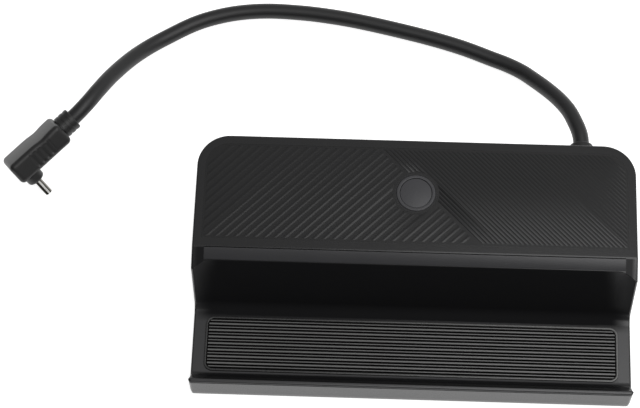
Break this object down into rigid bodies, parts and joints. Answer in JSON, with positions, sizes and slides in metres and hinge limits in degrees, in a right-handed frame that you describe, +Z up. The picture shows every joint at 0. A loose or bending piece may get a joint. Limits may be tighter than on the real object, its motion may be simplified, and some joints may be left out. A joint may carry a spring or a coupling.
{
  "type": "docking station stand",
  "caption": "Low black docking station with a leaning device cradle, a ribbed rubber mat, a round push button on top, rear ports and a captive lead with a right-angle plug.",
  "frame": {"origin": "on the table under the middle of the housing's footprint", "axes": "+X to the right along the width, +Y to the rear panel, +Z up"},
  "size_m": [0.2136, 0.1452, 0.0323],
  "materials": {
    "housing_plastic": "fine satin moulded black plastic",
    "panel_plastic": "black plastic with fine diagonal ribs",
    "strip_plastic": "smooth dark grey plastic strip",
    "button_plastic": "satin dark grey plastic",
    "mat_rubber": "ribbed silicone rubber",
    "foot_rubber": "matt rubber",
    "lead_jacket": "matt flexible jacket",
    "plug_plastic": "satin overmould",
    "connector_steel": "bright stamped steel",
    "screw_steel": "zinc plated steel",
    "ballast_steel": "bare sheet steel",
    "contact_plastic": "black contact carrier",
    "board_laminate": "green circuit board",
    "heat_sink_metal": "milled aluminium"
  },
  "bodies": {
    "dock": {"top_shell": "housing_plastic", "base_cover": "housing_plastic", "top_panel": "panel_plastic", "band_strip": "strip_plastic", "anti_slip_mat": "mat_rubber", "button_ring": "button_plastic", "tact_switch": "contact_plastic", "button_board": "board_laminate", "button_screw_1": "screw_steel", "button_screw_2": "screw_steel", "main_board": "board_laminate", "hub_chip": "contact_plastic", "heat_sink": "heat_sink_metal", "board_screw_1": "screw_steel", "board_screw_2": "screw_steel", "board_screw_3": "screw_steel", "board_screw_4": "screw_steel", "usb_a_port_1": "connector_steel", "usb_a_port_2": "connector_steel", "usb_a_port_3": "connector_steel", "usb_a_tongue_1": "contact_plastic", "usb_a_tongue_2": "contact_plastic", "usb_a_tongue_3": "contact_plastic", "hdmi_port": "connector_steel", "hdmi_tongue": "contact_plastic", "usb_c_port": "connector_steel", "usb_c_tongue": "contact_plastic", "ballast_plate": "ballast_steel", "case_screw_1": "screw_steel", "case_screw_2": "screw_steel", "case_screw_3": "screw_steel", "case_screw_4": "screw_steel", "rubber_foot_1": "foot_rubber", "rubber_foot_2": "foot_rubber", "rubber_foot_3": "foot_rubber", "rubber_foot_4": "foot_rubber", "cable_gland": "lead_jacket", "cord": "lead_jacket", "plug_strain_relief": "lead_jacket", "plug_body": "plug_plastic", "plug_shell": "connector_steel", "plug_tongue": "contact_plastic"},
    "button": {"button_cap": "button_plastic", "switch_plunger": "contact_plastic"}
  },
  "joints": [
    {"name": "button_press", "type": "slide", "parent": "dock", "child": "button", "axis": [0, 0, -1], "range_m": [0, 0.0005], "stiffness_N_per_m": 400, "springref_m": -0.001}
  ]
}
